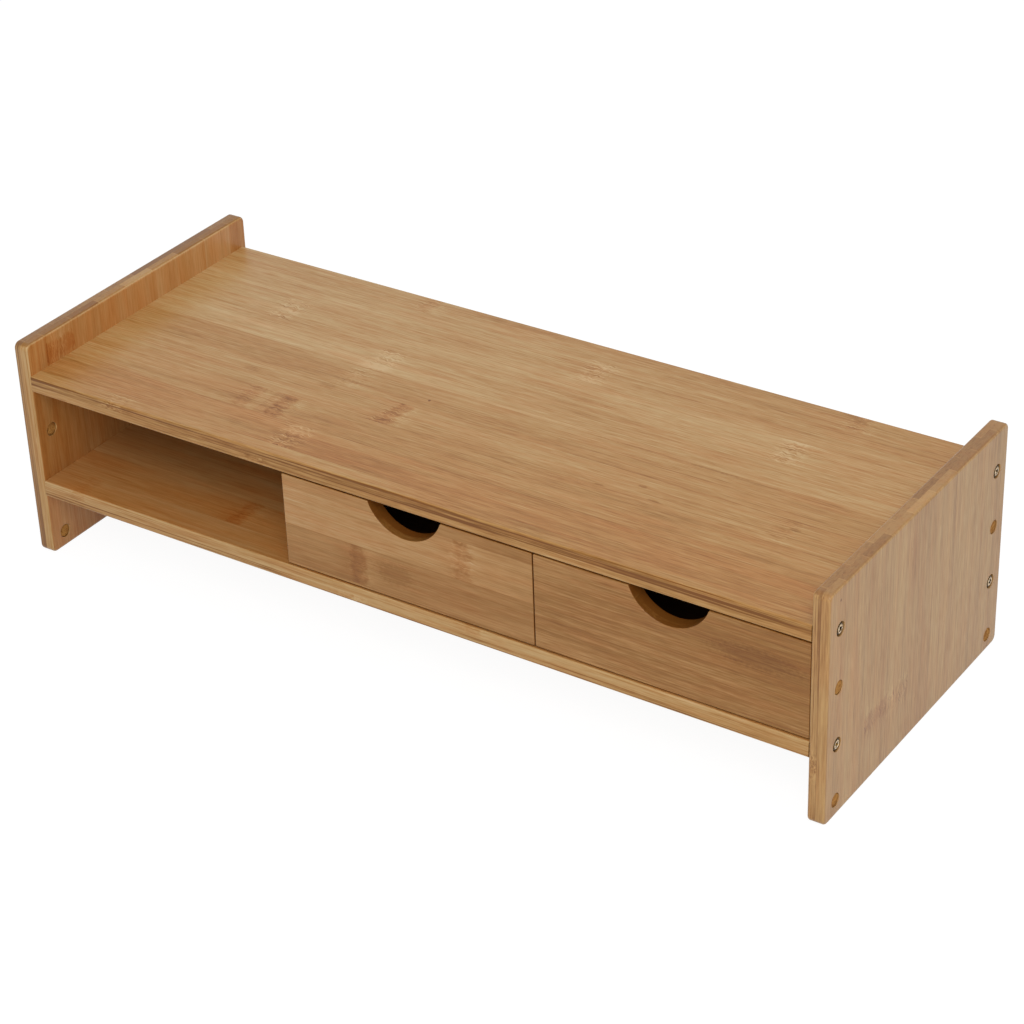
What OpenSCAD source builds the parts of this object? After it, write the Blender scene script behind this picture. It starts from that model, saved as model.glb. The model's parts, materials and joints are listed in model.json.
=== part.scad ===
// Bamboo laptop stand with an open bay and two drawers.
// Millimetres. X runs along the stand, -Y is the front, +Z is up.
// The origin is on the table, under the middle of the stand.

/* [Stand] */
// Overall width over the outer faces of the side panels
stand_w = 530; // [460:1:700]
// Overall depth of the side panels
stand_d = 202; // [160:1:300]
// Clear height under the shelf
keyboard_h = 40; // [30:1:50]
// Clear height between the shelf and the top board
storage_h = 60; // [50:1:90]
// Height of the side panels above the top board
lip_h = 20; // [12:1:40]
// Clear width of the open bay
bay_w = 180.5; // [120:0.5:230]

/* [Side panels] */
// Thickness of a side panel
panel_t = 10; // [8:0.5:14]
// Radius of a side panel's four corners
corner_r = 4; // [3:0.5:12]
// Radius that eases a side panel's edges
panel_ease_r = 1.5; // [0.5:0.1:2.5]
// Distance of the mounting holes from the front and back edges
hole_inset = 12; // [9:0.5:16]
// Clear height left under the shelf when it hangs in the spare holes
low_clear_h = 5; // [4.5:0.5:8]

/* [Boards] */
// Thickness of the top board and of the shelf
board_t = 10; // [8.5:0.5:14]
// How far the boards' front edges stand back from the side panels' front edges
board_setback = 0.3; // [0:0.1:4]
// The same at the back
board_back_setback = 2.9; // [0:0.1:8]
// Radius that eases the boards' front and back edges
board_ease_r = 1.2; // [0.4:0.1:2]
// Thickness of the dividers
divider_t = 10; // [8:0.5:14]
// Thickness of the back panel
back_t = 5; // [3:0.5:8]
// How far the back panel stands in from the boards' back edges
back_inset = 3; // [2:0.5:10]
// Depth of the back panel's grooves in the boards
back_groove_d = 2; // [1:0.1:2]

/* [Drawer fronts] */
// Thickness of a drawer front
front_t = 10; // [8:0.5:14]
// How far the drawer fronts stand back from the boards' front edges
front_setback = 0.8; // [0:0.1:5]
// Gap between the drawer fronts
front_gap = 0.6; // [0.6:0.1:2]
// Gap above and below the drawer fronts
front_gap_z = 1.2; // [0.5:0.1:2]
// Gap between a drawer front and the divider behind it
front_rest_gap = 0.5; // [0.3:0.1:2]
// Radius that eases a drawer front's edges
front_ease_r = 0.5; // [0.3:0.1:2]
// Radius of the cutter that made the finger notch
notch_r = 25; // [15:0.5:30]
// Height of the notch's centre above the front's top edge
notch_rise = 7.8; // [0:0.1:10]

/* [Drawer boxes] */
// Thickness of a drawer's sides and back
box_t = 8; // [6.5:0.5:10]
// Gap between a drawer's side and the wall of its bay
box_side_gap = 1; // [0.5:0.1:3]
// Gap under a drawer, where it runs on the shelf
box_run_gap = 0.2; // [0.1:0.1:0.5]
// How far a drawer's sides stop below the top board
box_top_gap = 10; // [6:1:20]
// Gap between a closed drawer and the back panel
box_back_gap = 2; // [1:0.5:10]
// Thickness of a drawer's bottom
bottom_t = 3; // [2.5:0.5:5]
// Depth of the bottom's grooves
bottom_groove_d = 3; // [2:0.5:4]
// Height of the bottom's grooves above the sides' lower edges
bottom_groove_h = 4; // [3:0.5:6]

/* [Fasteners] */
// Diameter of a panel screw's shank
screw_d = 4; // [3:0.5:4]
// Length of a panel screw under its head
screw_l = 40; // [30:1:50]
// Diameter of a panel screw's pan head
screw_head_d = 7.5; // [7:0.5:10]
// Height of a panel screw's pan head
screw_head_h = 2.4; // [2:0.1:3]
// How far the top of the head lies below the panel's outer face
screw_sink = 0; // [0:0.1:2]
// How much wider than the head its pocket in the panel is
screw_pocket_extra = 0.7; // [0.5:0.1:2]
// Diameter of the plugs in the spare holes
plug_d = 8; // [6:0.5:10]
// How far the plugs sit below the panel's faces
plug_recess = 0.5; // [0.2:0.1:1]
// Diameter of the dowels in the dividers
divider_dowel_d = 6; // [4:0.5:6]
// Length of those dowels inside the divider
divider_dowel_l = 14; // [10:1:20]
// Diameter of the screws through the shelf into the dividers
divider_screw_d = 3.5; // [3:0.5:4]
// Length of those screws
divider_screw_l = 28; // [22:1:35]
// Distance of a divider's fasteners from its front and back ends
divider_fix_inset = 30; // [20:1:45]
// Wood left beyond the tip of a dowel in a blind hole
blind_skin = 4; // [3:0.5:5]
// Diameter of the dowels in the drawers
box_dowel_d = 4; // [3:0.5:4]
// Length of those dowels inside the drawer's side
box_dowel_l = 14; // [10:1:20]
// Diameter of the screws in the drawers' backs
box_screw_d = 2.5; // [2:0.5:3]
// Length of those screws
box_screw_l = 20; // [16:1:25]
// Distance of a drawer's fasteners from its sides' upper and lower edges
box_fix_inset = 13; // [12:0.5:14]

/* [Fits] */
// Clearance round a screw, dowel or plug in its hole, and of a board in its groove
fit_gap = 0.05; // [0.02:0.01:0.1]

/* [Hidden] */
$fn = 48;
EASE_FN = 24;           // facets round an eased edge or a rounded corner
OVER = 1;               // how far a cutter runs past the face that it opens

// Heights of the boards
shelf_z = keyboard_h;
storage_z = shelf_z + board_t;
top_z = storage_z + storage_h;
deck_z = top_z + board_t;
stand_h = deck_z + lip_h;

// Inside of the frame
inner_x = stand_w / 2 - panel_t;
board_front_y = -stand_d / 2 + board_setback;
board_d = stand_d - board_setback - board_back_setback;
back_y = board_front_y + board_d - back_inset - back_t;
hole_y = stand_d / 2 - hole_inset;

// Mounting holes: the boards' middle heights, and one step lower for the spare holes
board_screw_z = [shelf_z + board_t / 2, top_z + board_t / 2];
step_down = keyboard_h - low_clear_h;
plug_z = [for (z = board_screw_z) z - step_down];
panel_hole_d = screw_d + 2 * fit_gap;
screw_pocket_d = screw_head_d + screw_pocket_extra;
screw_pocket_h = screw_head_h + screw_sink;

// Drawer fronts, which share what the open bay leaves
bay_right_x = -inner_x + bay_w;
front_w = (inner_x - bay_right_x - 1.5 * front_gap) / 2;
front_left_x = [bay_right_x, bay_right_x + front_w + front_gap];
front_y = board_front_y + front_setback;
front_z = storage_z + front_gap_z;
front_h = storage_h - 2 * front_gap_z;
front_back_y = front_y + front_t;

// Dividers stand behind the fronts, the middle one centred on the gap between them
divider_y = front_back_y + front_rest_gap;
divider_d = back_y - divider_y;
left_divider_x = bay_right_x;
middle_divider_x = front_left_x[1] - front_gap / 2 - divider_t / 2;
divider_fix_y = [divider_y + divider_fix_inset, back_y - divider_fix_inset];

// Drawer boxes, one for each space between the walls
box_left_x = [left_divider_x + divider_t + box_side_gap, middle_divider_x + divider_t + box_side_gap];
box_right_x = [middle_divider_x - box_side_gap, inner_x - box_side_gap];
box_z = storage_z + box_run_gap;
box_h = storage_h - box_run_gap - box_top_gap;
box_back_y = back_y - box_back_gap;
box_fix_z = [box_z + box_fix_inset, box_z + box_h - box_fix_inset];
bottom_z = box_z + bottom_groove_h;
countersink_k = 1.9;    // a countersunk head is this many shanks wide

BAMBOO = "#C79C66";
BAMBOO_LIGHT = "#D2AC7A";
BAMBOO_DARK = "#B5854F";
PLUG_WOOD = "#A8713C";
PALE_WOOD = "#DDBE93";
ZINC = "#C9C2AE";

DRAWER_PIECES = ["front", "left_side", "right_side", "back", "bottom", "dowels", "back_screws"];
DRAWERS = [0, 1];

function drawer_node(n, piece) = str("drawer_", n + 1, "_", piece);

// A flat disc with eased rims, standing on z = 0
module eased_disc(r, t, ease) {
    rotate_extrude($fn = EASE_FN) {
        square([r - ease, t]);
        translate([0, ease]) square([r, t - 2 * ease]);
        for (z = [ease, t - ease]) translate([r - ease, z]) circle(ease, $fn = EASE_FN);
    }
}

// A rectangle whose four corners are rounded, from the origin to [w, h]
module eased_rect(w, h, r) {
    translate([r, 0]) square([w - 2 * r, h]);
    translate([0, r]) square([w, h - 2 * r]);
    for (x = [r, w - r], y = [r, h - r]) translate([x, y]) circle(r);
}

// A board whose long edges are eased: l along X, d along Y, t along Z
module eased_board(l, d, t, r) {
    rotate([90, 0, 90]) linear_extrude(l) eased_rect(d, t, r);
}

// Turns +Z to +X
module along_x() {
    rotate([0, 90, 0]) children();
}

// Puts its children at both hole columns and the given heights, on the outer face of the
// right panel, with +Z pointing outwards
module at_panel_holes(heights) {
    for (y = [-hole_y, hole_y], z = heights)
        translate([stand_w / 2, y, z]) along_x() children();
}

// Makes the left-hand copy of a right-hand piece
module left_hand() {
    mirror([1, 0, 0]) children();
}

// A pan-head wood screw, its head standing on z = 0 and its shank going down
module pan_head_screw() {
    recess_w = screw_head_d * 0.14;
    recess_l = screw_head_d * 0.52;
    recess_d = screw_head_h * 0.65;
    dome_r = screw_head_d * 0.9;
    rim_h = screw_head_h * 0.35;
    difference() {
        intersection() {
            cylinder(d = screw_head_d, h = screw_head_h);
            translate([0, 0, screw_head_h - dome_r]) sphere(dome_r);
        }
        for (turn = [0, 90]) rotate([0, 0, turn])
            translate([-recess_l / 2, -recess_w / 2, screw_head_h - recess_d])
                cube([recess_l, recess_w, recess_d + OVER]);
    }
    translate([0, 0, -screw_l + screw_d]) cylinder(d = screw_d, h = screw_l - screw_d + rim_h);
    translate([0, 0, -screw_l]) cylinder(d1 = screw_d * 0.2, d2 = screw_d, h = screw_d);
}

// A countersunk screw of shank d and length l, its flat head at z = 0 and its shank going down
module countersunk_screw(d, l) {
    head_d = d * countersink_k;
    slot_l = d * 1.1;
    slot_w = d * 0.3;
    difference() {
        translate([0, 0, -d / 2]) cylinder(d1 = d * 0.9, d2 = head_d, h = d / 2);
        for (turn = [0, 90]) rotate([0, 0, turn])
            translate([-slot_l / 2, -slot_w / 2, -d * 0.4]) cube([slot_l, slot_w, d]);
    }
    translate([0, 0, -l + d]) cylinder(d = d, h = l - 1.4 * d);
    translate([0, 0, -l]) cylinder(d1 = d * 0.2, d2 = d, h = d);
}

// The hole that such a screw goes into, with room for its head
module countersunk_hole(d, l) {
    hole_d = d + 2 * fit_gap;
    translate([0, 0, -l - fit_gap]) cylinder(d = hole_d, h = l + OVER);
    translate([0, 0, -d / 2]) cylinder(d1 = hole_d, d2 = d * countersink_k + 2 * fit_gap, h = d / 2);
    cylinder(d = d * countersink_k + 2 * fit_gap, h = OVER);
}

// Two divider positions and two fixing points on each, at height z
module at_divider_fixings(z) {
    for (x = [left_divider_x, middle_divider_x], y = divider_fix_y)
        translate([x + divider_t / 2, y, z]) children();
}

module divider_dowel_shape(gap) {
    bite = board_t - blind_skin;
    translate([0, 0, -divider_dowel_l - gap])
        cylinder(d = divider_dowel_d + 2 * gap, h = divider_dowel_l + bite + 2 * gap);
}

// Screws and dowels of the frame, and the holes that they sit in
module divider_screw_holes() {
    at_divider_fixings(shelf_z) mirror([0, 0, 1]) countersunk_hole(divider_screw_d, divider_screw_l);
}

module divider_dowel_holes() {
    at_divider_fixings(top_z) divider_dowel_shape(fit_gap);
}

// A panel screw's hole, and the pocket that its head lies in
module panel_screw_holes() {
    module right_hand() {
        at_panel_holes(board_screw_z) {
            translate([0, 0, -screw_pocket_h - screw_l - fit_gap])
                cylinder(d = panel_hole_d, h = screw_l + screw_pocket_h);
            translate([0, 0, -screw_pocket_h]) cylinder(d = screw_pocket_d, h = screw_pocket_h + OVER);
        }
    }
    right_hand();
    left_hand() right_hand();
}

// The back panel's groove in the face of a board, opening towards the other board
module back_groove(face_z) {
    translate([-inner_x - OVER, back_y - fit_gap, face_z - back_groove_d])
        cube([2 * (inner_x + OVER), back_t + 2 * fit_gap, 2 * back_groove_d]);
}

module side_panel() {
    color(BAMBOO_LIGHT) difference() {
        hull() for (y = [-1, 1], z = [corner_r, stand_h - corner_r])
            translate([stand_w / 2 - panel_t, y * (stand_d / 2 - corner_r), z])
                along_x() eased_disc(corner_r, panel_t, panel_ease_r);
        panel_screw_holes();
        at_panel_holes(plug_z) translate([0, 0, -panel_t - OVER])
            cylinder(d = plug_d + 2 * fit_gap, h = panel_t + 2 * OVER);
    }
}

module left_side_panel() {
    left_hand() side_panel();
}

module right_side_panel() {
    side_panel();
}

module board_blank(z) {
    translate([-inner_x, board_front_y, z]) eased_board(2 * inner_x, board_d, board_t, board_ease_r);
}

module top_board() {
    color(BAMBOO) difference() {
        board_blank(top_z);
        panel_screw_holes();
        divider_dowel_holes();
        back_groove(top_z);
    }
}

module shelf_board() {
    color(BAMBOO_LIGHT) difference() {
        board_blank(shelf_z);
        panel_screw_holes();
        divider_screw_holes();
        back_groove(storage_z);
    }
}

module back_panel() {
    tongue = back_groove_d - fit_gap;
    color(BAMBOO_DARK) translate([-inner_x, back_y, storage_z - tongue])
        cube([2 * inner_x, back_t, storage_h + 2 * tongue]);
}

module divider(x) {
    color(BAMBOO) difference() {
        translate([x, divider_y, storage_z]) cube([divider_t, divider_d, storage_h]);
        divider_screw_holes();
        divider_dowel_holes();
    }
}

module left_divider() {
    divider(left_divider_x);
}

module middle_divider() {
    divider(middle_divider_x);
}

module divider_dowels() {
    color(PALE_WOOD) at_divider_fixings(top_z) divider_dowel_shape(0);
}

module divider_screws() {
    color(ZINC) at_divider_fixings(shelf_z) mirror([0, 0, 1])
        countersunk_screw(divider_screw_d, divider_screw_l);
}

module right_panel_screws() {
    color(ZINC) at_panel_holes(board_screw_z) translate([0, 0, -screw_pocket_h]) pan_head_screw();
}

module left_panel_screws() {
    left_hand() right_panel_screws();
}

module right_hole_plugs() {
    color(PLUG_WOOD) at_panel_holes(plug_z) translate([0, 0, -panel_t + plug_recess])
        cylinder(d = plug_d, h = panel_t - 2 * plug_recess);
}

module left_hole_plugs() {
    left_hand() right_hole_plugs();
}

// The space of drawer n's bottom, grown by gap all round
module bottom_space(n, gap) {
    reach = bottom_groove_d - fit_gap + gap;
    x0 = box_left_x[n] + box_t - reach;
    x1 = box_right_x[n] - box_t + reach;
    y0 = front_back_y - reach;
    y1 = box_back_y - box_t + reach;
    translate([x0, y0, bottom_z - gap]) cube([x1 - x0, y1 - y0, bottom_t + 2 * gap]);
}

// Both fixing heights on the middles of drawer n's two sides, at depth y
module at_side_ends(n, y) {
    for (x = [box_left_x[n] + box_t / 2, box_right_x[n] - box_t / 2], z = box_fix_z)
        translate([x, y, z]) children();
}

// A drawer's dowels lie along Y, from inside its front into its sides
module drawer_dowel_shapes(n, gap) {
    bite = front_t - blind_skin;
    at_side_ends(n, front_back_y) rotate([-90, 0, 0]) translate([0, 0, -bite - gap])
        cylinder(d = box_dowel_d + 2 * gap, h = bite + box_dowel_l + 2 * gap);
}

// The places of a drawer's back screws, +Z pointing out of the drawer's side
module at_back_screws(n) {
    for (z = box_fix_z) {
        translate([box_left_x[n], box_back_y - box_t / 2, z]) rotate([0, -90, 0]) children();
        translate([box_right_x[n], box_back_y - box_t / 2, z]) rotate([0, 90, 0]) children();
    }
}

module drawer_cuts(n) {
    bottom_space(n, fit_gap);
    drawer_dowel_shapes(n, fit_gap);
    at_back_screws(n) countersunk_hole(box_screw_d, box_screw_l);
}

module drawer_front(n) {
    color(BAMBOO_DARK) difference() {
        translate([front_left_x[n], front_y, front_z])
            eased_board(front_w, front_t, front_h, front_ease_r);
        translate([front_left_x[n] + front_w / 2, front_y - OVER, front_z + front_h + notch_rise])
            rotate([-90, 0, 0]) cylinder(r = notch_r, h = front_t + 2 * OVER);
        drawer_cuts(n);
    }
}

module drawer_side(n, x) {
    color(BAMBOO) difference() {
        translate([x, front_back_y, box_z]) cube([box_t, box_back_y - front_back_y, box_h]);
        drawer_cuts(n);
    }
}

module drawer_back(n) {
    x0 = box_left_x[n] + box_t;
    color(BAMBOO) difference() {
        translate([x0, box_back_y - box_t, box_z]) cube([box_right_x[n] - box_t - x0, box_t, box_h]);
        drawer_cuts(n);
    }
}

module drawer_bottom(n) {
    color(PALE_WOOD) bottom_space(n, 0);
}

module drawer_dowels(n) {
    color(PALE_WOOD) drawer_dowel_shapes(n, 0);
}

module drawer_back_screws(n) {
    color(ZINC) at_back_screws(n) countersunk_screw(box_screw_d, box_screw_l);
}

left_side_panel();
right_side_panel();
top_board();
shelf_board();
back_panel();
left_divider();
middle_divider();
divider_dowels();
divider_screws();
left_panel_screws();
right_panel_screws();
left_hole_plugs();
right_hole_plugs();
for (n = DRAWERS) {
    drawer_front(n);
    drawer_side(n, box_left_x[n]);
    drawer_side(n, box_right_x[n] - box_t);
    drawer_back(n);
    drawer_bottom(n);
    drawer_dowels(n);
    drawer_back_screws(n);
}
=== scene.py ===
import json
import math
import random
from collections import namedtuple
from functools import partial

import bmesh
import bpy
from mathutils import Matrix, Vector
from mathutils.geometry import tessellate_polygon


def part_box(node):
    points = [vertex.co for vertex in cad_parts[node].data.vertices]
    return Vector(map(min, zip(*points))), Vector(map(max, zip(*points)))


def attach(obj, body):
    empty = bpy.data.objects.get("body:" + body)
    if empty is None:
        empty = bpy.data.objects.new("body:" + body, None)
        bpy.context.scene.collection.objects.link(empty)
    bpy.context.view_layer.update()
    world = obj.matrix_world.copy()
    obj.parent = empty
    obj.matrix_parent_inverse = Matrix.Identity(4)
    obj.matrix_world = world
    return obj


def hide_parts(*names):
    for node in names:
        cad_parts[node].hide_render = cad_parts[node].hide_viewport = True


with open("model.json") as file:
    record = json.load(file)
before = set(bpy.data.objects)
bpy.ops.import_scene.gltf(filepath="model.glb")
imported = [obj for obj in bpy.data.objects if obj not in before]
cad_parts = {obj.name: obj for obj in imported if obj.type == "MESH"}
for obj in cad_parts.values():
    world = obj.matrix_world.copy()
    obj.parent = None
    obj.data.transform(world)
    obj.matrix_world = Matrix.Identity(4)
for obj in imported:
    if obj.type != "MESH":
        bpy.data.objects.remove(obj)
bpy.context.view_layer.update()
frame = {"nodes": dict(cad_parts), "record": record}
nodes = frame["nodes"]

# ---------------------------------------------------------------- sizes, in metres
MM = 0.001
PANEL_CORNER = 4 * MM       # rounding of a side panel's corners
PANEL_EASE = 1.5 * MM       # rounding of its edges
FRONT_CORNER = 0.8 * MM     # the same on a drawer front
FRONT_EASE = 0.5 * MM
HOLE_EASE = 0.3 * MM        # countersink left by the drill at a hole
NOTCH_RADIUS = 25 * MM      # the round cutter of the finger notch
NOTCH_RISE = 7.8 * MM       # how far its centre lies above the front's top edge
NOTCH_FILLET = 1.0 * MM     # sanded corner where the notch meets the top edge
BOX_EASE = 0.4 * MM         # sanded edges of dividers and drawer boxes
SCREW_HOLE = 4.1 * MM
SCREW_POCKET = 8.2 * MM     # the round pocket that a screw's head lies in, flush with the panel
SCREW_HEAD = 7.5 * MM
HEAD_HEIGHT = 2.4 * MM
# Half a panel screw's outline from tip to crown, as radius and distance from the pocket's floor
SCREW_PROFILE = [(radius * MM, reach * MM) for radius, reach in (
    (0.4, -40), (2, -36), (2, 0), (3.5, 0), (3.7, 0.1), (3.75, 0.35), (3.75, 0.8), (3.68, 1.15),
    (3.5, 1.48), (3.24, 1.76), (2.92, 2), (2.55, 2.2), (2.2, 2.33), (1.95, 2.4))]
# Its cross recess at the crown and at the bottom, as half length, half width and distance
RECESS = ((1.8 * MM, 0.6 * MM, 2.4 * MM), (0.9 * MM, 0.35 * MM, 0.6 * MM))
PLUG_HOLE = 8.1 * MM
PLUG = 8 * MM
PLUG_EASE = 0.4 * MM
EASE_STEPS = 4              # facets across a rounded edge
CORNER_STEPS = 8            # facets round a quarter circle
RING_STEPS = 40             # facets round a hole, screw or plug
NOTCH_STEPS = 48            # facets along the notch
X, Y, Z = 0, 1, 2

BODY_OF = {name: body for body, members in frame["record"]["behaviour"]["bodies"].items()
           for name in members}


# ---------------------------------------------------------------- meshes
def arc(centre, radius, start, end, steps):
    """Points on an arc, from one angle to the other, in degrees."""
    turns = [math.radians(start + (end - start) * i / steps) for i in range(steps + 1)]
    return [(centre[0] + radius * math.cos(a), centre[1] + radius * math.sin(a)) for a in turns]


def rounded_corner(corner, towards, radius):
    """A quarter turn inside a right-angled corner, anticlockwise round the outline."""
    centre = (corner[0] + towards[0] * radius, corner[1] + towards[1] * radius)
    start = {(1, 1): 180, (-1, 1): 270, (-1, -1): 0, (1, -1): 90}[towards]
    return arc(centre, radius, start, start + 90, CORNER_STEPS)


def rounded_rect(low, high, radius):
    """Outline of a board with rounded corners."""
    corners = [(low[0], low[1], (1, 1)), (high[0], low[1], (-1, 1)),
               (high[0], high[1], (-1, -1)), (low[0], high[1], (1, -1))]
    return [p for a, b, towards in corners for p in rounded_corner((a, b), towards, radius)]


def inset(loop, distance):
    """The loop moved to its left by a distance, with mitred corners."""
    moved = []
    for before, here, after in zip(loop[-1:] + loop[:-1], loop, loop[1:] + loop[:1]):
        first = (Vector(here) - Vector(before)).normalized()
        second = (Vector(after) - Vector(here)).normalized()
        left = Vector((-first.y - second.y, first.x + second.x))
        moved.append(Vector(here) + left * distance / (1 + first.dot(second)))
    return moved


def close(bm, loops):
    """Fills the flat face between an outer loop of vertices and the loops of its holes."""
    corners = [v for loop in loops for v in loop]
    for triangle in tessellate_polygon([[v.co for v in loop] for loop in loops]):
        bm.faces.new([corners[i] for i in triangle])


def wrap(bm, rings):
    """Joins each ring of vertices to the next one."""
    for lower, upper in zip(rings, rings[1:]):
        for i in range(len(lower)):
            bm.faces.new((lower[i - 1], lower[i], upper[i], upper[i - 1]))


def finish_piece(bm, name, material, sharp=40):
    """Turns a mesh under construction into the piece that stands for the CAD node of that name."""
    bmesh.ops.recalc_face_normals(bm, faces=bm.faces)
    for edge in bm.edges:
        edge.smooth = edge.calc_face_angle(0) < math.radians(sharp)
    for face in bm.faces:
        face.smooth = True
    mesh = bpy.data.meshes.new(name + "_made")
    bm.to_mesh(mesh)
    bm.free()
    mesh.materials.append(material)
    piece = bpy.data.objects.new(name + "_made", mesh)
    bpy.context.scene.collection.objects.link(piece)
    normals = piece.modifiers.new("flat faces stay flat", "WEIGHTED_NORMAL")
    normals.keep_sharp = True
    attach(piece, BODY_OF[name])
    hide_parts(name)


def eased(round_off, low, high):
    """Inset and height of each ring of a wall from low to high whose two rims are rounded."""
    rim = []
    for step in range(EASE_STEPS + 1):
        angle = math.pi / 2 * step / EASE_STEPS
        rim.append((round_off * (1 - math.sin(angle)), round_off * (1 - math.cos(angle))))
    return [(in_by, low + up) for in_by, up in rim] + [(in_by, high - up) for in_by, up in reversed(rim)]


def plate(name, outline, axes, thickness, ease, material, holes=()):
    """A board cut to an outline, with its edges rounded.

    The outline runs anticlockwise. axes says which of X, Y and Z the outline's two
    coordinates and the thickness lie along. A hole is its centre, radius and wall.
    """
    bm = bmesh.new()
    cuts = [(outline, eased(ease, *thickness))]
    cuts += [(arc(centre, radius, 360, 0, RING_STEPS)[:-1], wall) for centre, radius, wall in holes]
    walls = []
    for loop, wall in cuts:
        rings = []
        for in_by, height in wall:
            ring = []
            for a, b in inset(loop, in_by):
                place = [0, 0, 0]
                for axis, value in zip(axes, (a, b, height)):
                    place[axis] = value
                ring.append(bm.verts.new(place))
            rings.append(ring)
        wrap(bm, rings)
        walls.append(rings)
    close(bm, [rings[0] for rings in walls])
    close(bm, [rings[-1] for rings in walls])
    finish_piece(bm, name, material)


def soften(name, ease):
    """Rounds the edges of a CAD node a little, as sandpaper does."""
    piece = nodes[name]
    weld = piece.modifiers.new("join the faces", "WELD")
    weld.merge_threshold = 0.001 * MM
    bevel = piece.modifiers.new("sanded edges", "BEVEL")
    bevel.width = ease
    bevel.segments = 3
    bevel.limit_method = "ANGLE"
    bevel.angle_limit = math.radians(50)
    normals = piece.modifiers.new("flat faces stay flat", "WEIGHTED_NORMAL")
    normals.keep_sharp = True


# ---------------------------------------------------------------- materials
def linear(colour):
    """An sRGB colour such as "#A67946" as linear red, green, blue and alpha."""
    parts = [int(colour[i:i + 2], 16) / 255 for i in (1, 3, 5)]
    return (*[p / 12.92 if p <= 0.04045 else ((p + 0.055) / 1.055) ** 2.4 for p in parts], 1)


def add(tree, kind, *inputs, out=0, at=None, stops=(), **settings):
    """Adds a shader node. Values or links go in by order, or by name or number in at."""
    node = tree.nodes.new("ShaderNode" + kind)
    for key, value in settings.items():
        setattr(node, key, value)
    for key, value in [*enumerate(inputs), *(at or {}).items()]:
        if isinstance(value, bpy.types.NodeSocket):
            tree.links.new(value, node.inputs[key])
        else:
            node.inputs[key].default_value = value
    for i, (place, colour) in enumerate(stops):
        element = node.color_ramp.elements[i] if i < 2 else node.color_ramp.elements.new(place)
        element.position = place
        element.color = colour
    return node.outputs[out] if node.outputs else None


def new_material(name):
    """An empty node material and its tree."""
    material = bpy.data.materials.new(name)
    material.use_nodes = True
    material.node_tree.nodes.clear()
    return material, material.node_tree


def shade(tree, shader):
    """Makes a shader the surface of its material or the background of its world."""
    kind = "OutputWorld" if tree.id_data.id_type == "WORLD" else "OutputMaterial"
    add(tree, kind, shader)


# Laminated bamboo. Strips split from the culm are planed, glued side by side in two
# layers, sanded and given a thin satin varnish. The eye sees straight fibres, strips of
# slightly different tone, and a knuckle across a strip where the culm had a joint.
# Each palette runs from the darkest fibres to the palest.
GOLDEN = ("#70420C", "#8A5E27", "#A67B45", "#B49261", "#C0A276")        # the boards, most of them
HONEY = ("#74481A", "#8B602D", "#A67C4B", "#B5956A", "#C0A27C")         # the drawer fronts
SANDY = ("#7E5730", "#9A7345", "#AC8554", "#B8935F", "#C4A270")         # the side panels
UNLIT_BROWN = ("#1A0D05", "#2A170A", "#3A2311", "#4A301A", "#5C4026")    # near black: painted shade for a drawer's unlit inside
ORANGE = "#FFDAB4"          # multiplies the colour of a strip that leans to orange
ROSE = "#FFF0E4"            # multiplies it in faint patches and in a knuckle's dark band
STRIP_W = 24.5              # width of a strip, mm
REACH = 300                 # knuckle places are kept as a share of this distance each way, mm
HIDDEN_SHIFT = 0.45         # how far the other layer's strips lie to one side, in strip widths
HIDDEN_ROW = 3              # how many strips further down the list that layer starts
NEXT_STRIP = 97             # how far its fibres are moved along from one strip to the next, mm
NEXT_LAYER = 41             # and from one layer to the other
VARNISH_IOR = 1.5
VARNISH_ROUGHNESS = 0.34
ROUGHNESS_SPREAD = 0.07     # rougher by this over a dark fibre, smoother over a pale one
VARNISH_GLOSS = 0.3         # the thin coat reflects less than a full one, which would be 0.5
FIBRE_RELIEF = 0.05 * MM    # how far the fibres stand out under the varnish
SMOOTH = {"interpolation_type": "SMOOTHSTEP"}
# End grain: the one tone that it tends to and how far, and how much of the fibres and layers shows
END_TONE = 0.49
END_EVEN = 0.7
END_FIBRES = 0.2
END_LAYERS = 0.35
# The cut end of each strip has a tone of its own: how widely they differ and their middle
BLOCK_SPREAD = 1.1
BLOCK_TONE = -0.24
GLUE_TONE = -0.07           # the glue line between two strips on a face
GLUE_END_TONE = 0.15        # and on end grain
FIBRES_ON_DARK = 0.42       # how much the fibres show on the darkest strip, which is the least
VEIN_TONE = -0.12           # thin dark veins between the fibres
KNUCKLE_WANDER = 9          # how far a knuckle's line wanders along the grain, mm
SWERVE = 5                  # how far the fibres swerve sideways at it, mm
RIPPLE = 1.2                # how much more they show there
CRIMP_TONE = 0.24           # how much paler its crimped fibres are
BAND_TONE = -0.19           # how much darker its band is
FLANK = 0.45                # share of that on the band's near side, over some 20 mm
HALO = -0.28                # and on its far side, which is paler
LEAN_SPREAD = 0.9           # how widely the lean to orange varies in patches
BLUSH = 0.5                 # how strong the rose patches are

# Places along and across a board are in mm of the shared frame.
# A knuckle: its place along the grain, and from 0 to 1 how strong its pale crimped fibres and
# its dark band are.
Knuckle = namedtuple("Knuckle", "place pale dark")
NOWHERE = Knuckle(REACH, 0, 0)
# One strip: its tone at the low and the high end of the board from 0, dark, to 1, pale, how
# far it leans to orange, and its two knuckles in order.
Strip = namedtuple("Strip", "low high warm first second", defaults=(0, NOWHERE, NOWHERE))
# A level in the thickness, from 0 at the low face to 1 at the high one: how much darker or
# paler the wood is there, and how strongly dark fibres mark it.
Level = namedtuple("Level", "place tone fibres")
# A small mark on the side that shows most: its place along and across the board, its half
# length and half width in mm, and how much darker or paler it is.
Mark = namedtuple("Mark", "along across length width tone")
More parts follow.
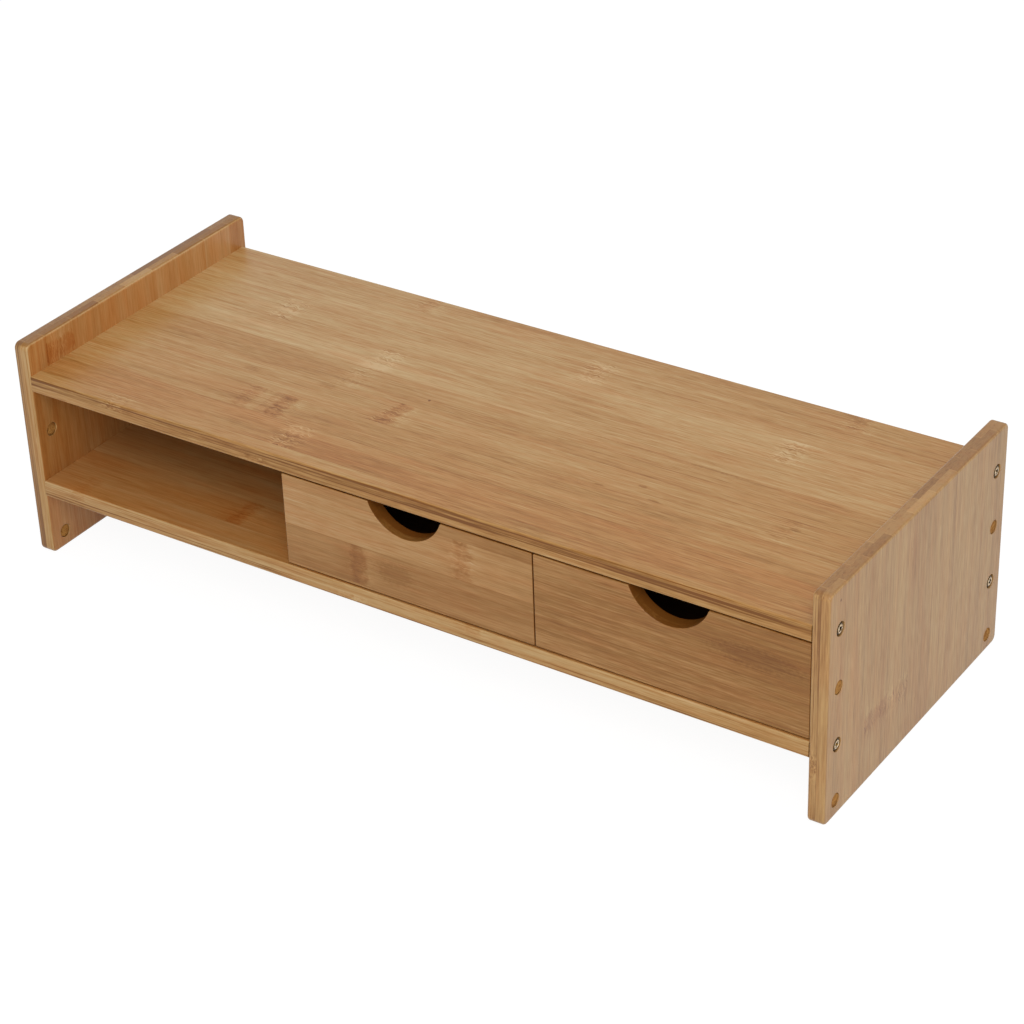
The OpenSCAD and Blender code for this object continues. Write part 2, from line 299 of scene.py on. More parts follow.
# How one board is laid up: its strips, where the first starts across the board in mm, its
# levels, the palettes of its low and its high layer, whether the side that shows most is the
# high one, how strongly its fibres show, how much darker its sawn edges are (partly painted
# shade), and its marks.
Layup = namedtuple("Layup", "strips seam levels low_wood high_wood shows_high streaks sawn marks",
                   defaults=((Level(0, 0, 0), Level(1, 0, 0)), GOLDEN, GOLDEN, True, 1, 0, ()))
# The fibres, as noise drawn out along the grain: length, width and depth in mm, detail and
# strength. The finest are drawn 0.7 mm wide, as coarse as they need to be to show.
FIBRES = ((150, 14, 14, 1, 0.38), (110, 3.4, 4, 2, 0.46), (32, 0.9, 1.2, 2, 0.78),
          (9, 0.7, 0.8, 1, 0.45))


def knuckle_colour(knuckle):
    """A knuckle as three numbers from 0 to 1, which a colour ramp can hold."""
    return 0.5 + knuckle.place / (2 * REACH), knuckle.pale, knuckle.dark


def bamboo(name, axes, sides, layup):
    """Laminated bamboo of one board.

    axes gives the axis along the grain, across the strips and through the thickness, and
    sides the board's extent on each of the three in mm. All sizes in here are in mm, and
    tone runs from 0, the palette's darkest fibres, to 1, its palest.
    """
    material, tree = new_material(name)
    put = partial(add, tree)

    def cloud(place, size, detail, distortion=0):
        """Noise from about -0.5 to 0.5 in blots of a size in mm on each axis."""
        blots = put("VectorMath", place, size, operation="DIVIDE")
        blots = put("TexNoise", blots, at={"Scale": 1, "Detail": detail, "Distortion": distortion})
        return put("Math", blots, 0.5, operation="SUBTRACT")

    def table(row, columns):
        """Three numbers of this point's strip, by a colour ramp with one step for each strip."""
        stops = [(i / len(layup.strips), (*columns(s), 1)) for i, s in enumerate(layup.strips)]
        steps = put("ValToRGB", row, stops=stops)
        steps.node.color_ramp.interpolation = "CONSTANT"
        return put("SeparateColor", steps).node.outputs

    spot = put("VectorMath", put("TexCoord", out="Object"), at={"Scale": 1 / MM}, operation="SCALE")
    spot = put("SeparateXYZ", spot).node.outputs
    facing = put("VectorMath", put("TexCoord", out="Normal"), operation="ABSOLUTE")
    facing = put("SeparateXYZ", facing).node.outputs
    u, v, w = (spot[axis] for axis in axes)
    end_grain = put("MapRange", facing[axes[0]], 0.5, 0.85, 0, 1, **SMOOTH)
    sawn_edge = put("MapRange", facing[axes[2]], 0.3, 0.8, 1, 0, **SMOOTH)

    # Which strip of which layer this point lies in
    upper = put("Math", w, sum(sides[2]) / 2, operation="GREATER_THAN")
    lower = put("Math", 1, upper, operation="SUBTRACT")
    on_show, behind = (upper, lower) if layup.shows_high else (lower, upper)
    side = put("Math", behind, STRIP_W * HIDDEN_SHIFT, v, operation="MULTIPLY_ADD")
    side = put("Math", side, layup.seam, operation="SUBTRACT")
    strip = put("Math", put("Math", side, STRIP_W, operation="DIVIDE"), operation="FLOOR")
    row = put("Math", behind, HIDDEN_ROW, strip, operation="MULTIPLY_ADD")
    row = put("Math", row, 0.5, operation="ADD")
    row = put("Math", put("Math", row, len(layup.strips), operation="DIVIDE"), operation="FRACT")
    low, high, warm = table(row, lambda s: (s.low, s.high, s.warm))
    first, second = (table(row, lambda s: knuckle_colour(s[i])) for i in (3, 4))
    start = put("Math", strip, NEXT_STRIP, u, operation="MULTIPLY_ADD")
    start = put("Math", behind, NEXT_LAYER, start, operation="MULTIPLY_ADD")
    straight = put("CombineXYZ", start, v, w)

    # Distance along the grain from the nearer knuckle, which crosses the strip unevenly
    here = put("MapRange", u, -REACH, REACH, 0, 1)
    halfway = put("Math", put("Math", first[0], second[0], operation="ADD"), 0.5, operation="MULTIPLY")
    past = put("Math", here, halfway, operation="GREATER_THAN")
    nearest, pale, dark = (put("Mix", past, at={2: a, 3: b}) for a, b in zip(first, second))
    off = put("Math", put("Math", here, nearest, operation="SUBTRACT"), 2 * REACH, operation="MULTIPLY")
    off = put("Math", cloud(straight, (9, 5, 5), 2), KNUCKLE_WANDER, off, operation="MULTIPLY_ADD")
    gap = put("Math", off, operation="ABSOLUTE")

    # Fibres, which swerve at a knuckle
    swerve = put("MapRange", gap, 2, 16, SWERVE, 0, **SMOOTH)
    swerve = put("Math", swerve, cloud(straight, (4, 6, 6), 1), operation="MULTIPLY")
    bent = put("Math", swerve, put("Math", pale, dark, operation="MAXIMUM"), v, operation="MULTIPLY_ADD")
    grain = put("CombineXYZ", start, bent, w)
    tone = put("MapRange", u, *sides[0], low, high)
    even = put("Math", end_grain, END_EVEN, operation="MULTIPLY")
    tone = put("Mix", even, at={2: tone, 3: END_TONE})
    close_by = put("MapRange", gap, 3, 14, 1, 0, **SMOOTH)
    ripple = put("Math", pale, close_by, operation="MULTIPLY")
    ripple = put("Math", ripple, RIPPLE, 1, operation="MULTIPLY_ADD")
    contrast = put("Math", put("MapRange", end_grain, 0, 1, 1, END_FIBRES), ripple, operation="MULTIPLY")
    by_tone = put("Math", tone, layup.streaks, FIBRES_ON_DARK * layup.streaks, operation="MULTIPLY_ADD")
    contrast = put("Math", contrast, by_tone, operation="MULTIPLY")
    for *size, detail, strength in FIBRES:
        fibres = cloud(grain, size, detail)
        streak = put("Math", fibres, contrast, operation="MULTIPLY")
        tone = put("Math", streak, strength, tone, operation="MULTIPLY_ADD")
    vein = put("MapRange", cloud(grain, (60, 1.2, 1.2), 1), 0.17, 0.26, 0, VEIN_TONE, **SMOOTH)
    tone = put("Math", vein, contrast, tone, operation="MULTIPLY_ADD")

    # Layers in the thickness, which show on the board's narrow edges
    height = put("MapRange", w, *sides[2], 0, 1)
    height = put("Math", cloud(straight, (130, 20, 40), 1), 0.08, height, operation="MULTIPLY_ADD")
    layers = put("ValToRGB", height, stops=[
        (level.place, (0.5 + level.tone / 2, level.fibres, 0, 1)) for level in layup.levels])
    layers = put("SeparateColor", layers).node.outputs
    shown = put("MapRange", end_grain, 0, 1, 1, END_LAYERS)
    tone = put("Math", put("MapRange", layers[0], 0, 1, -1, 1), shown, tone, operation="MULTIPLY_ADD")
    strands = put("MapRange", cloud(straight, (110, 4, 0.9), 1), -0.02, 0.16, 0.15, -1.2, **SMOOTH)
    strands = put("Math", strands, shown, operation="MULTIPLY")
    tone = put("Math", strands, layers[1], tone, operation="MULTIPLY_ADD")

    # The knuckle: crimped fibres that catch the light, and a dark band with a paler far side
    crimp = put("MapRange", cloud(grain, (3.2, 2.4, 3), 2, 0.8), -0.08, 0.2, 0, CRIMP_TONE, **SMOOTH)
    crimp = put("Math", crimp, close_by, operation="MULTIPLY")
    tone = put("Math", crimp, pale, tone, operation="MULTIPLY_ADD")
    band = put("Math", cloud(grain, (2.4, 1.6, 1.6), 2), 1.5, 0.7, operation="MULTIPLY_ADD")
    band = put("Math", band, put("MapRange", gap, 2.5, 6.5, 1, 0, **SMOOTH), operation="MULTIPLY")
    flank = put("MapRange", off, -19, -4, 0, FLANK, **SMOOTH)
    fade = put("MapRange", off, -4, 3, 1, 0, **SMOOTH)
    band = put("Math", flank, fade, band, operation="MULTIPLY_ADD")
    halo = put("MapRange", off, 4, 7, 0, HALO, **SMOOTH)
    fade = put("MapRange", off, 7, 17, 1, 0, **SMOOTH)
    band = put("Math", halo, fade, band, operation="MULTIPLY_ADD")
    band = put("Math", band, dark, operation="MULTIPLY")
    tone = put("Math", band, BAND_TONE, tone, operation="MULTIPLY_ADD")

    # The glue line between two strips, which is pale on end grain, and the sawn edges, darker partly
    # because cut wood takes up more varnish and partly as painted shade in the finger notch
    seam = put("Math", side, STRIP_W / 2, operation="PINGPONG")
    seam = put("MapRange", seam, 0.1, 0.7, 1, 0, **SMOOTH)
    glue = put("MapRange", end_grain, 0, 1, GLUE_TONE, GLUE_END_TONE)
    tone = put("Math", seam, glue, tone, operation="MULTIPLY_ADD")
    block = cloud(put("CombineXYZ", strip, behind), (2.7, 1.9, 1), 0)
    block = put("Math", block, BLOCK_SPREAD, BLOCK_TONE, operation="MULTIPLY_ADD")
    tone = put("Math", end_grain, block, tone, operation="MULTIPLY_ADD")
    # Sawn edges darker by layup.sawn: partly cut wood taking up more varnish, partly painted shade in
    # the finger notch
    tone = put("Math", sawn_edge, -layup.sawn, tone, operation="MULTIPLY_ADD")

    # Small marks, with ragged rims
    ragged = put("Math", cloud(straight, (2.2, 1.4, 1), 2), 1.6, operation="MULTIPLY")
    for mark in layup.marks:
        apart = put("CombineXYZ", u, v)
        apart = put("VectorMath", apart, (mark.along, mark.across, 0), operation="SUBTRACT")
        apart = put("VectorMath", apart, (mark.length, mark.width, 1), operation="DIVIDE")
        apart = put("VectorMath", apart, out="Value", operation="LENGTH")
        apart = put("Math", apart, ragged, operation="ADD")
        blot = put("MapRange", apart, 0.5, 1.3, mark.tone, 0, **SMOOTH)
        tone = put("Math", blot, on_show, tone, operation="MULTIPLY_ADD")

    # Colour, which leans to orange on some strips and to rose in faint patches
    palettes = [put("ValToRGB", tone, stops=[(i / 4, linear(c)) for i, c in enumerate(wood)])
                for wood in (layup.low_wood, layup.high_wood)]
    colour = put("Mix", upper, at={6: palettes[0], 7: palettes[1]}, out=2, data_type="RGBA")
    lean = put("Math", cloud(grain, (70, 11, 11), 1), LEAN_SPREAD, warm, operation="MULTIPLY_ADD")
    broad_side = put("MapRange", facing[axes[2]], 0.85, 0.98, 0, 1, **SMOOTH)
    broad_side = put("Math", broad_side, behind, operation="SUBTRACT")
    lean = put("Math", lean, broad_side, operation="MULTIPLY", use_clamp=True)
    lean = put("Mix", sawn_edge, at={2: lean, 3: layup.sawn})
    colour = put("Mix", lean, at={6: colour, 7: linear(ORANGE)}, out=2, data_type="RGBA",
                 blend_type="MULTIPLY")
    blush = put("MapRange", cloud(grain, (40, 5, 5), 2), -0.1, 0.16, 0, BLUSH, **SMOOTH)
    blush = put("Math", band, 0.9, blush, operation="MULTIPLY_ADD")
    colour = put("Mix", blush, at={6: colour, 7: linear(ROSE)}, out=2, data_type="RGBA",
                 blend_type="MULTIPLY")
    bump = put("Bump", at={"Strength": 0.2, "Distance": FIBRE_RELIEF, "Height": fibres})
    rough = put("MapRange", fibres, -0.3, 0.3, VARNISH_ROUGHNESS + ROUGHNESS_SPREAD,
                VARNISH_ROUGHNESS - ROUGHNESS_SPREAD)
    shade(tree, put("BsdfPrincipled", colour, at={
        "Roughness": rough, "IOR": VARNISH_IOR, "Specular IOR Level": VARNISH_GLOSS, "Normal": bump}))
    return material


# Beech, turned to a rod and cut off. The eye sees end grain with small dark pores, unpolished.
PORE_WIDTH = 0.9            # mm, drawn wider than life so that they show
PORE_LENGTH = 25            # mm along the rod
WOOD_CLOUD = 3.5            # width of the paler and darker patches, mm
SAWN_ROUGHNESS = 0.8
SAWN_GLOSS = 0.08


def turned_wood(name, pale, dark, axis):
    """Turned wood in two colours, for a dowel or plug that lies along an axis."""
    material, tree = new_material(name)
    place = add(tree, "VectorMath", add(tree, "TexCoord", out="Object"), at={"Scale": 1 / MM},
                operation="SCALE")
    squeeze = [1 / PORE_WIDTH] * 3
    squeeze[axis] = 1 / PORE_LENGTH
    pores = add(tree, "VectorMath", place, squeeze, operation="MULTIPLY")
    pores = add(tree, "TexNoise", pores, at={"Scale": 1, "Detail": 2})
    cloud = add(tree, "TexNoise", place, at={"Scale": 1 / WOOD_CLOUD, "Detail": 1})
    tone = add(tree, "Math", pores, cloud, operation="ADD")
    tone = add(tree, "Math", tone, 0.5, operation="MULTIPLY")
    colour = add(tree, "ValToRGB", tone, stops=[(0.38, linear(dark)), (0.62, linear(pale))])
    bump = add(tree, "Bump", at={"Strength": 0.3, "Distance": FIBRE_RELIEF, "Height": pores})
    shade(tree, add(tree, "BsdfPrincipled", colour, at={
        "Roughness": SAWN_ROUGHNESS, "IOR": VARNISH_IOR, "Specular IOR Level": SAWN_GLOSS,
        "Normal": bump}))
    return material


# Zinc-plated steel with a yellow finish, pressed and tumbled. The eye sees a warm, slightly
# hazy metal. On a head in its pocket the flank gets painted shade and a painted dark
# reflection, and only the crown stays bright.
HAZE = 0.8                  # size of the hazy patches, mm
STRAW_DARK = "#8A6C4A"
STRAW_PALE = "#E6D0B0"
# painted shade and a painted dark reflection on a screw head's flank
HEAD_SHADE = "#42300F"
HEAD_SHADE_FULL = 0.24            # this far below the crown, in mm, the painted shade is full
HEAD_SHADE_NONE = 0.04             # and this far below it there is none
STEEL_ROUGHNESS = (0.16, 0.28)


def plated_steel(name, crown):
    """Yellow-plated steel. Heads along X get painted shade below their crown, that far from the middle
    in mm.
    """
    material, tree = new_material(name)
    place = add(tree, "VectorMath", add(tree, "TexCoord", out="Object"), at={"Scale": 1 / MM},
                operation="SCALE")
    haze = add(tree, "TexNoise", place, at={"Scale": 1 / HAZE, "Detail": 2})
    colour = add(tree, "ValToRGB", haze, stops=[(0.38, linear(STRAW_DARK)), (0.6, linear(STRAW_PALE))])
    if crown:
        # Painted shade: below the crown the flank turns dark brown, for the pocket's shadow and the dark
        # reflection on the dome's shoulder
        reach = add(tree, "Math", add(tree, "SeparateXYZ", place), operation="ABSOLUTE")
        unshaded = add(tree, "MapRange", reach, crown - HEAD_SHADE_FULL, crown - HEAD_SHADE_NONE, 0, 1, **SMOOTH)
        colour = add(tree, "Mix", unshaded, at={6: linear(HEAD_SHADE), 7: colour}, out=2, data_type="RGBA")
    rough = add(tree, "MapRange", haze, 0.3, 0.7, *STEEL_ROUGHNESS)
    shade(tree, add(tree, "BsdfPrincipled", colour, at={"Metallic": 1, "Roughness": rough}))
    return material


# ---------------------------------------------------------------- the boards
def extent(name):
    """A CAD node's extent along X, Y and Z, in mm."""
    return [(low / MM, high / MM) for low, high in zip(*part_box(name))]


def board_material(name, axes, layup):
    """Bamboo laid out on the CAD node of that name."""
    sides = extent(name)
    return bamboo(name + "_bamboo", axes, [sides[axis] for axis in axes], layup)


TOP = Layup(
    (Strip(0.55, 0.45, 0.1, Knuckle(-193, 0.6, 0)),
     Strip(0.50, 0.43, 0.3, Knuckle(-82, 1, 0.1)),
     Strip(0.54, 0.44, 0.1, Knuckle(-131, 0.3, 0.6), Knuckle(-108, 0.6, 0.9)),
     Strip(0.60, 0.48, 0, Knuckle(-47, 0.4, 1), Knuckle(200, 0.3, 0.2)),
     Strip(0.52, 0.50, 0, Knuckle(-91, 0.5, 0)),
     Strip(0.70, 0.58, 0, Knuckle(-89, 1, 0)),
     Strip(0.68, 0.60, 0, Knuckle(-177, 1, 0.1), Knuckle(164, 0.9, 0.1)),
     Strip(0.68, 0.52, 0, Knuckle(25, 0.8, 0.15)),
     Strip(0.66, 0.48, 0, Knuckle(-106, 0.5, 0.5), Knuckle(182, 0.6, 0.4))),
    -116,
    (Level(0, 0, 0.1), Level(0.44, 0, 0.15), Level(0.48, -0.5, 1), Level(0.54, -0.36, 1),
     Level(0.94, -0.3, 1), Level(0.965, -0.2, 0.3), Level(0.98, 0, 0)),
    streaks=0.92,
    marks=(Mark(-39, -7.5, 0.8, 0.8, -0.6), Mark(-150, -28, 6, 4, -0.12), Mark(-100, -22, 7, 3, -0.14),
           Mark(114, -28, 3, 1.5, -0.2), Mark(93, -38, 3, 1, -0.2), Mark(127, -38, 4, 1, -0.2),
           Mark(205, -26, 3, 1.5, -0.2), Mark(115, 6, 42, 0.9, -0.2), Mark(30, 37, 30, 1.5, -0.14)))
# Its strips lean strongly to orange: partly painted bounce light, for the warm light and dull
# reflections inside the shaded bay under the top board.
SHELF = Layup(
    (Strip(0.72, 0.72, 0.9, Knuckle(-229, 0.2, 0.4), Knuckle(50, 0.1, 0.6)),
     Strip(0.70, 0.76, 0.9, Knuckle(-130, 0.3, 0.9)),
     Strip(0.74, 0.71, 0.7, Knuckle(60, 0.5, 0.4)),
     Strip(0.76, 0.76, 0.7, Knuckle(-30, 0.6, 0)),
     Strip(0.71, 0.76, 0.8, Knuckle(140, 0.3, 0.5)),
     Strip(0.76, 0.71, 0.7, Knuckle(-200, 0.6, 0), Knuckle(120, 0.4, 0.2)),
     Strip(0.68, 0.76, 0.8, Knuckle(20, 0.3, 0.5)),
     Strip(0.78, 0.76, 0.7, Knuckle(-90, 0.5, 0)),
     Strip(0.76, 0.76, 0.8, Knuckle(230, 0.3, 0.3))),
    -106,
    (Level(0.05, -0.15, 0), Level(0.1, -0.26, 0.35), Level(0.36, -0.26, 0.35), Level(0.42, -0.12, 0.15),
     Level(0.9, -0.12, 0.15), Level(0.95, 0, 0)),
    streaks=0.65)
RIGHT_PANEL = Layup(
    (Strip(0.52, 0.54, 0.2), Strip(0.56, 0.54, 0.1),
     Strip(0.50, 0.49, 0, Knuckle(38, 0.3, 1)), Strip(0.51, 0.52, 0, Knuckle(36, 0.8, 0.4)),
     Strip(0.46, 0.44, 0.1), Strip(0.52, 0.53), Strip(0.53, 0.55), Strip(0.51, 0.53), Strip(0.44, 0.46)),
    -108,
    (Level(0.05, 0, 0), Level(0.1, -0.06, 0.2), Level(0.47, -0.06, 0.2), Level(0.5, -0.14, 0.3),
     Level(0.54, -0.06, 0.15), Level(0.9, -0.06, 0.15), Level(0.95, 0, 0)),
    SANDY, SANDY, streaks=1.1, marks=(Mark(132, -89.6, 0.8, 0.8, -0.8),))
# Its strips are paler and lean further to orange than the right panel's: partly painted light and
# painted bounce light on its inner face, which the lamps reach less. Each strip is also darker at its
# low end, the bottom, than at its high end: painted shade in the bay under the top board.
LEFT_PANEL = Layup(
    (Strip(0.66, 0.68, 0.9), Strip(0.68, 0.72, 0.9, Knuckle(128, 0.4, 0.9)),
     Strip(0.68, 0.76, 0.9, Knuckle(46, 0.2, 0.7)), Strip(0.70, 0.84, 0.9), Strip(0.70, 0.88, 0.9),
     Strip(0.70, 0.90, 0.8), Strip(0.72, 0.92, 0.9), Strip(0.74, 0.92, 0.8)),
    -110,
    (Level(0.05, -0.34, 0), Level(0.1, -0.62, 0.25), Level(0.47, -0.62, 0.25), Level(0.5, -0.2, 0.3),
     Level(0.54, -0.1, 0.15), Level(0.9, -0.1, 0.15), Level(0.95, 0, 0)),
    SANDY, GOLDEN, streaks=0.7)
FRONT_LEVELS = (Level(0, 0, 0), Level(0.44, 0, 0), Level(0.5, -0.5, 0.2), Level(0.56, -0.25, 0.2),
                Level(0.95, -0.3, 0.3), Level(1, 0, 0))
FRONT_1 = Layup(
    (Strip(0.34, 0.34, 0, Knuckle(-25, 0.3, 0.8)),
     Strip(0.59, 0.41, 0, Knuckle(45, 0.4, 0.6)), Strip(0.44, 0.28, 0)),
    53, FRONT_LEVELS, HONEY, HONEY, shows_high=False, streaks=0.6, sawn=0.25,
    marks=(Mark(0, 67, 12, 7, -0.1),))
FRONT_2 = Layup(
    (Strip(0.34, 0.24), Strip(0.29, 0.22), Strip(0.36, 0.20)),
    53, FRONT_LEVELS, HONEY, HONEY, shows_high=False, streaks=1, sawn=0.15,
    marks=(Mark(224, 89, 26, 6, -0.14),))
# Dividers, back panel and drawer boxes
INNER = Layup(
    (Strip(0.55, 0.55), Strip(0.62, 0.60), Strip(0.50, 0.52), Strip(0.58, 0.60)),
    45, (Level(0, 0, 0), Level(0.5, -0.15, 0.3), Level(1, 0, 0)))
# The drawer bottoms are near black: painted shade, so that a drawer's inside looks unlit through its
# notch.
DRAWER_BOTTOM = INNER._replace(low_wood=UNLIT_BROWN, high_wood=UNLIT_BROWN)


def side_panel(name, layup):
    """An upright board with rounded corners, four screw holes with pockets and four plugged holes."""
    low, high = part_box(name)
    hand = name.split("_")[0]
    plug_wall = eased(HOLE_EASE, low.x, high.x)
    pocket_floor = max(abs(corner.x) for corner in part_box(hand + "_panel_screws")) - HEAD_HEIGHT
    wider = (SCREW_POCKET - SCREW_HOLE) / 2
    near, far = sorted((abs(low.x), abs(high.x)))
    rims = eased(HOLE_EASE, near, far)
    inner, outer = rims[:EASE_STEPS + 1], rims[EASE_STEPS + 1:]
    screw_wall = inner + [(0, pocket_floor), (wider, pocket_floor)] + [(wider + a, b) for a, b in outer]
    if hand == "left":
        screw_wall = [(in_by, -reach) for in_by, reach in reversed(screw_wall)]
    holes = [(place, PLUG_HOLE / 2, plug_wall) for place in centres(hand + "_hole_plugs")]
    holes += [(place, SCREW_HOLE / 2, screw_wall) for place in centres(hand + "_panel_screws")]
    outline = rounded_rect((low.y, low.z), (high.y, high.z), PANEL_CORNER)
    material = board_material(name, (Z, Y, X), layup)
    plate(name, outline, (Y, Z, X), (low.x, high.x), PANEL_EASE, material, holes)


def centres(name):
    """The four (y, z) centres of a group of screws or plugs, which lie symmetrically."""
    low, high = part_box(name)
    radius = {"screws": SCREW_HEAD / 2, "plugs": PLUG / 2}[name.split("_")[-1]]
    return [(y, z) for y in (low.y + radius, high.y - radius) for z in (low.z + radius, high.z - radius)]


def drawer_front(name, layup):
    """A drawer front with the round finger notch in its top edge."""
    low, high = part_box(name)
    middle = (low.x + high.x) / 2
    drop = NOTCH_RISE + NOTCH_FILLET
    reach = math.sqrt((NOTCH_RADIUS + NOTCH_FILLET) ** 2 - drop ** 2)
    lean = math.degrees(math.atan2(drop, reach))
    fillet_z = high.z - NOTCH_FILLET
    outline = rounded_corner((low.x, low.z), (1, 1), FRONT_CORNER)
    outline += rounded_corner((high.x, low.z), (-1, 1), FRONT_CORNER)
    outline += rounded_corner((high.x, high.z), (-1, -1), FRONT_CORNER)
    outline += arc((middle + reach, fillet_z), NOTCH_FILLET, 90, 180 - lean, CORNER_STEPS)
    outline += arc((middle, high.z + NOTCH_RISE), NOTCH_RADIUS, -lean, lean - 180, NOTCH_STEPS)[1:-1]
    outline += arc((middle - reach, fillet_z), NOTCH_FILLET, lean, 90, CORNER_STEPS)
    outline += rounded_corner((low.x, high.z), (1, -1), FRONT_CORNER)
    material = board_material(name, (X, Z, Y), layup)
    plate(name, outline, (X, Z, Y), (low.y, high.y), FRONT_EASE, material)


def round_rings(bm, profile, centre, outwards):
    """Rings of vertices round an axis along X, one for each (radius, distance outwards)."""
    rings = []
    for radius, reach in profile:
        circle = arc(centre, radius, 0, 360, RING_STEPS)[:-1]
        rings.append([bm.verts.new((outwards(reach), y, z)) for y, z in circle])
    return rings


def cross_outline(centre, length, width, turn):
    """The twelve corners of a cross recess."""
    corners = []
    for quarter in range(4):
        for a, b in ((length, -width), (length, width), (width, width)):
            angle = math.radians(90 * quarter + turn)
            corners.append((centre[0] + a * math.cos(angle) - b * math.sin(angle),
                            centre[1] + a * math.sin(angle) + b * math.cos(angle)))
    return corners


def panel_screws(name, material, draw):
    """Four pan-head wood screws, their cross recesses turned as each was driven home."""
    low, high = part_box(name)
    sign = 1 if high.x > 0 else -1
    seat = (high.x if sign > 0 else -low.x) - HEAD_HEIGHT
    bm = bmesh.new()

    def outwards(reach):
        return sign * (seat + reach)

    for centre in centres(name):
        rings = round_rings(bm, SCREW_PROFILE, centre, outwards)
        turn = draw.uniform(0, 90)
        recess = []
        for length, width, reach in RECESS:
            cross = cross_outline(centre, length, width, turn)
            recess.append([bm.verts.new((outwards(reach), y, z)) for y, z in cross])
        wrap(bm, rings)
        wrap(bm, recess)
        close(bm, [rings[-1], recess[0]])
        close(bm, [recess[1]])
        close(bm, [rings[0]])
    finish_piece(bm, name, material)


def hole_plugs(name, material):
    """Four wooden plugs with eased ends."""
    low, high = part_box(name)
    length = high.x - low.x
    bm = bmesh.new()
    profile = [(PLUG / 2 - PLUG_EASE, 0), (PLUG / 2, PLUG_EASE), (PLUG / 2, length - PLUG_EASE),
               (PLUG / 2 - PLUG_EASE, length)]
    for centre in centres(name):
        rings = round_rings(bm, profile, centre, lambda reach: low.x + reach)
        wrap(bm, rings)
        close(bm, [rings[0]])
        close(bm, [rings[-1]])
    finish_piece(bm, name, material, sharp=60)


# ---------------------------------------------------------------- the stand
SCREW_SEED = 7              # which way each screw's recess is turned
# The bamboo nodes that keep their CAD shape: their axes along the grain, across the strips and
# through the thickness, and how they are laid up
CARRIED = {
    "top_board": ((X, Y, Z), TOP),
    "shelf_board": ((X, Y, Z), SHELF),
    "back_panel": ((X, Z, Y), INNER),
    "left_divider": ((Z, Y, X), INNER),
    "middle_divider": ((Z, Y, X), INNER)}
for drawer in ("drawer_1", "drawer_2"):
    CARRIED[drawer + "_left_side"] = (Y, Z, X), INNER
    CARRIED[drawer + "_right_side"] = (Y, Z, X), INNER
    CARRIED[drawer + "_back"] = (X, Z, Y), INNER
    CARRIED[drawer + "_bottom"] = (X, Y, Z), DRAWER_BOTTOM


def coat(name, material):
    """Gives a CAD node its material."""
    slots = nodes[name].data.materials
    slots.clear()
    slots.append(material)


def build():
    """Makes the pieces that replace CAD nodes and gives every other node its finish."""
    draw = random.Random(SCREW_SEED)
    steel = plated_steel("plated_steel", None)
    shaded_head_steel = plated_steel("shaded_head_steel", extent("right_panel_screws")[X][1])
    plug = turned_wood("plug_wood", "#B98646", "#8A5A2A", X)
    side_panel("left_side_panel", LEFT_PANEL)
    side_panel("right_side_panel", RIGHT_PANEL)
    for hand in ("left", "right"):
        panel_screws(hand + "_panel_screws", shaded_head_steel, draw)
        hole_plugs(hand + "_hole_plugs", plug)
    drawer_front("drawer_1_front", FRONT_1)
    drawer_front("drawer_2_front", FRONT_2)

    for name, (axes, layup) in CARRIED.items():
        coat(name, board_material(name, axes, layup))
        if "board" not in name and "bottom" not in name:
            soften(name, BOX_EASE)
    dowel = turned_wood("dowel_wood", "#D9BD92", "#C09C68", Z)
    for name in nodes:
        if name.endswith("dowels"):
            coat(name, dowel)
        elif name.endswith(("divider_screws", "back_screws")):
            coat(name, steel)


# ---------------------------------------------------------------- camera, light and floor
# Found from the stand's straight edges in the photograph
EYE = (0.80122, -1.14577, 0.89713)
AZIMUTH, ELEVATION, ROLL = (math.radians(angle) for angle in (34.646, 31.082, -2.164))
LENS = 100.612              # mm
SENSOR = 36                 # mm


def camera():
    """The photograph's viewpoint."""
    data = bpy.data.cameras.new("camera")
    data.sensor_width = SENSOR
    data.lens = LENS
    eye = bpy.data.objects.new("camera", data)
    eye.matrix_world = (
        Matrix.Translation(EYE) @ Matrix.Rotation(AZIMUTH, 4, "Z")
        @ Matrix.Rotation(math.pi / 2 - ELEVATION, 4, "X") @ Matrix.Rotation(ROLL, 4, "Z"))
    bpy.context.scene.collection.objects.link(eye)
    bpy.context.scene.camera = eye


def seen_directly(tree):
    """1 for rays from the camera or off a shiny or clear surface, else 0."""
    rays = add(tree, "LightPath").node.outputs
    direct = add(tree, "Math", rays["Is Camera Ray"], rays["Is Glossy Ray"], operation="MAXIMUM")
    return add(tree, "Math", direct, rays["Is Transmission Ray"], operation="MAXIMUM")


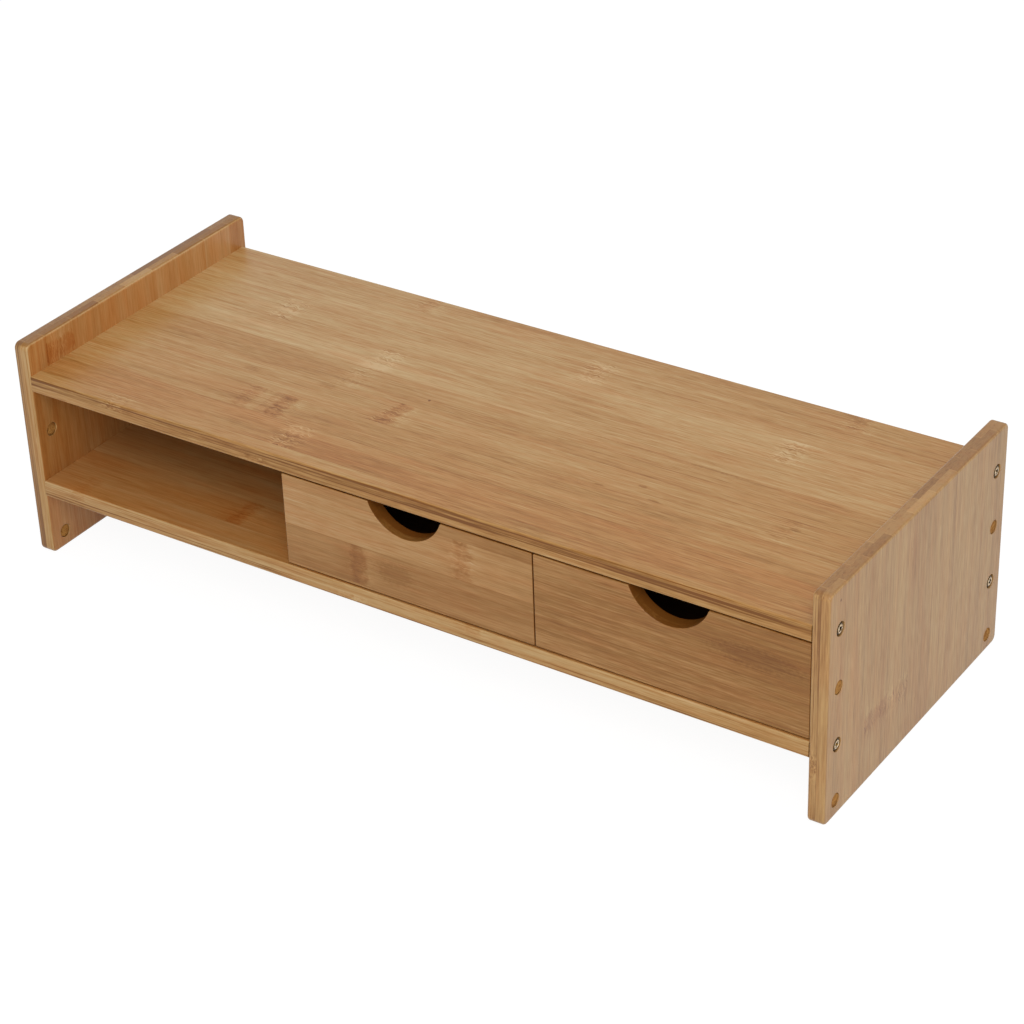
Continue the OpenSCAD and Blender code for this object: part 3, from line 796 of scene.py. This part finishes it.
AMBIENT = 0.5               # light from all round on the object
FLOOR_GLOW = 0.93           # plain white that the floor shows by itself
FLOOR_PAPER = 0.12          # what its lit paper adds, which is where shadows show
FLOOR_WHITE = 0.9           # how white the paper is to light that bounces off it
FLOOR_REACH = 15            # metres each way
# Each lamp's place and size in metres and its power in watts. They point at the stand.
LAMPS = {"top_softbox": ((0.35, 0.35, 1.7), 1.4, 7.5),
         "front_softbox": ((0.6, -1.25, 1.25), 1.3, 17)}


def studio():
    """White paper underneath, white all round, and two large soft lamps."""
    scene = bpy.context.scene
    scene.view_settings.view_transform = "Standard"
    world = bpy.data.worlds.new("white room")
    world.use_nodes = True
    world.node_tree.nodes.clear()
    tree = world.node_tree
    strength = add(tree, "MapRange", seen_directly(tree), 0, 1, AMBIENT, 1)
    shade(tree, add(tree, "Background", (1, 1, 1, 1), strength))
    scene.world = world

    material, tree = new_material("white_paper")
    direct = seen_directly(tree)
    white = add(tree, "MapRange", direct, 0, 1, FLOOR_WHITE, FLOOR_PAPER)
    paper = add(tree, "BsdfDiffuse", add(tree, "CombineColor", white, white, white))
    glow = add(tree, "Math", direct, FLOOR_GLOW, operation="MULTIPLY")
    glow = add(tree, "Emission", (1, 1, 1, 1), glow)
    shade(tree, add(tree, "AddShader", paper, glow))
    bm = bmesh.new()
    bm.faces.new([bm.verts.new((x * FLOOR_REACH, y * FLOOR_REACH, 0))
                  for x, y in ((-1, -1), (1, -1), (1, 1), (-1, 1))])
    mesh = bpy.data.meshes.new("floor")
    bm.to_mesh(mesh)
    bm.free()
    mesh.materials.append(material)
    floor = bpy.data.objects.new("floor", mesh)
    scene.collection.objects.link(floor)

    for name, (place, size, power) in LAMPS.items():
        lamp = bpy.data.lights.new(name, "AREA")
        lamp.shape = "DISK"
        lamp.size = size
        lamp.energy = power
        box = bpy.data.objects.new(name, lamp)
        box.location = place
        box.rotation_mode = "QUATERNION"
        box.rotation_quaternion = (-Vector(place)).to_track_quat("-Z", "Y")
        scene.collection.objects.link(box)


build()
camera()
studio()
